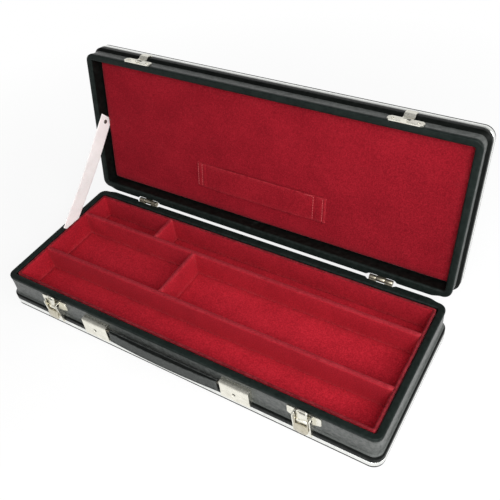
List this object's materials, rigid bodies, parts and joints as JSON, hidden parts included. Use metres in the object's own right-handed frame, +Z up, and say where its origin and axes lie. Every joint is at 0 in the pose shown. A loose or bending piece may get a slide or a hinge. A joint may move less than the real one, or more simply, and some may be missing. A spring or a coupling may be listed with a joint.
{
  "type": "recorder case",
  "caption": "Hard instrument case with velvet compartments, hinged padded lid on a ribbon stay, draw latches and a drop handle.",
  "frame": {"origin": "centre of the base's underside, on the surface that the case stands on", "axes": "+X to the right along the case's length, +Y from the latches to the hinges, +Z up"},
  "size_m": [0.3542, 0.1904, 0.1704],
  "materials": {
    "shell": "satin grained",
    "band": "semi gloss",
    "rim": "satin",
    "bright_trim": "polished",
    "velvet": "short pile",
    "nickel": "nickel plated",
    "ribbon": "woven",
    "grip": "grained"
  },
  "bodies": {
    "base": {"base_shell": "shell", "base_bottom": "shell", "base_edge_band": "band", "base_silver_trim": "bright_trim", "base_rim": "rim", "base_floor_pad": "velvet", "base_wall_lining": "velvet", "front_divider": "velvet", "rear_divider": "velvet", "middle_cross_divider": "velvet", "rear_cross_divider": "velvet", "latch_plate_left": "nickel", "latch_plate_right": "nickel", "latch_rivets": "nickel", "latch_pivot_pins": "nickel", "handle_cap_left": "nickel", "handle_cap_right": "nickel", "handle_rivets": "nickel", "hinge_base_leaf_left": "nickel", "hinge_base_leaf_right": "nickel", "hinge_base_rivets": "nickel", "hinge_pins": "nickel", "lid_stay": "ribbon"},
    "lid": {"lid_shell": "shell", "lid_top": "shell", "lid_edge_band": "band", "lid_silver_trim": "bright_trim", "lid_rim": "rim", "lid_pad": "velvet", "lid_strap": "velvet", "strike_plate_left": "nickel", "strike_plate_right": "nickel", "strike_rivets": "nickel", "hinge_lid_leaf_left": "nickel", "hinge_lid_leaf_right": "nickel", "hinge_lid_rivets": "nickel", "stay_rivet": "nickel"},
    "handle": {"handle_grip": "grip", "handle_rod": "nickel"},
    "latch_lever_left": {"latch_lever_left": "nickel", "link_pin_left": "nickel"},
    "latch_link_left": {"latch_link_left": "nickel"},
    "latch_lever_right": {"latch_lever_right": "nickel", "link_pin_right": "nickel"},
    "latch_link_right": {"latch_link_right": "nickel"}
  },
  "joints": [
    {"name": "lid_hinge", "type": "hinge", "parent": "base", "child": "lid", "pos_m": [0, 0.0687, 0.0335], "axis": [1, 0, 0], "range_deg": [0, 100.5], "deforming": ["lid_stay"]},
    {"name": "handle_pivot", "type": "hinge", "parent": "base", "child": "handle", "pos_m": [0, -0.0685, 0.0214], "axis": [-1, 0, 0], "range_deg": [0, 90]},
    {"name": "latch_lever_left_pivot", "type": "hinge", "parent": "base", "child": "latch_lever_left", "pos_m": [-0.119, -0.0696, 0.0273], "axis": [-1, 0, 0], "range_deg": [0, 120]},
    {"name": "latch_link_left_pivot", "type": "hinge", "parent": "latch_lever_left", "child": "latch_link_left", "pos_m": [-0.119, -0.069, 0.0226], "axis": [-1, 0, 0], "range_deg": [-130, 0]},
    {"name": "latch_lever_right_pivot", "type": "hinge", "parent": "base", "child": "latch_lever_right", "pos_m": [0.119, -0.0696, 0.0273], "axis": [-1, 0, 0], "range_deg": [0, 120]},
    {"name": "latch_link_right_pivot", "type": "hinge", "parent": "latch_lever_right", "child": "latch_link_right", "pos_m": [0.119, -0.069, 0.0226], "axis": [-1, 0, 0], "range_deg": [-130, 0]}
  ],
  "couplings": [
    {"joint": "latch_link_left_pivot", "follows": "latch_lever_left_pivot", "ratio": -1.05},
    {"joint": "latch_link_right_pivot", "follows": "latch_lever_right_pivot", "ratio": -1.05}
  ]
}
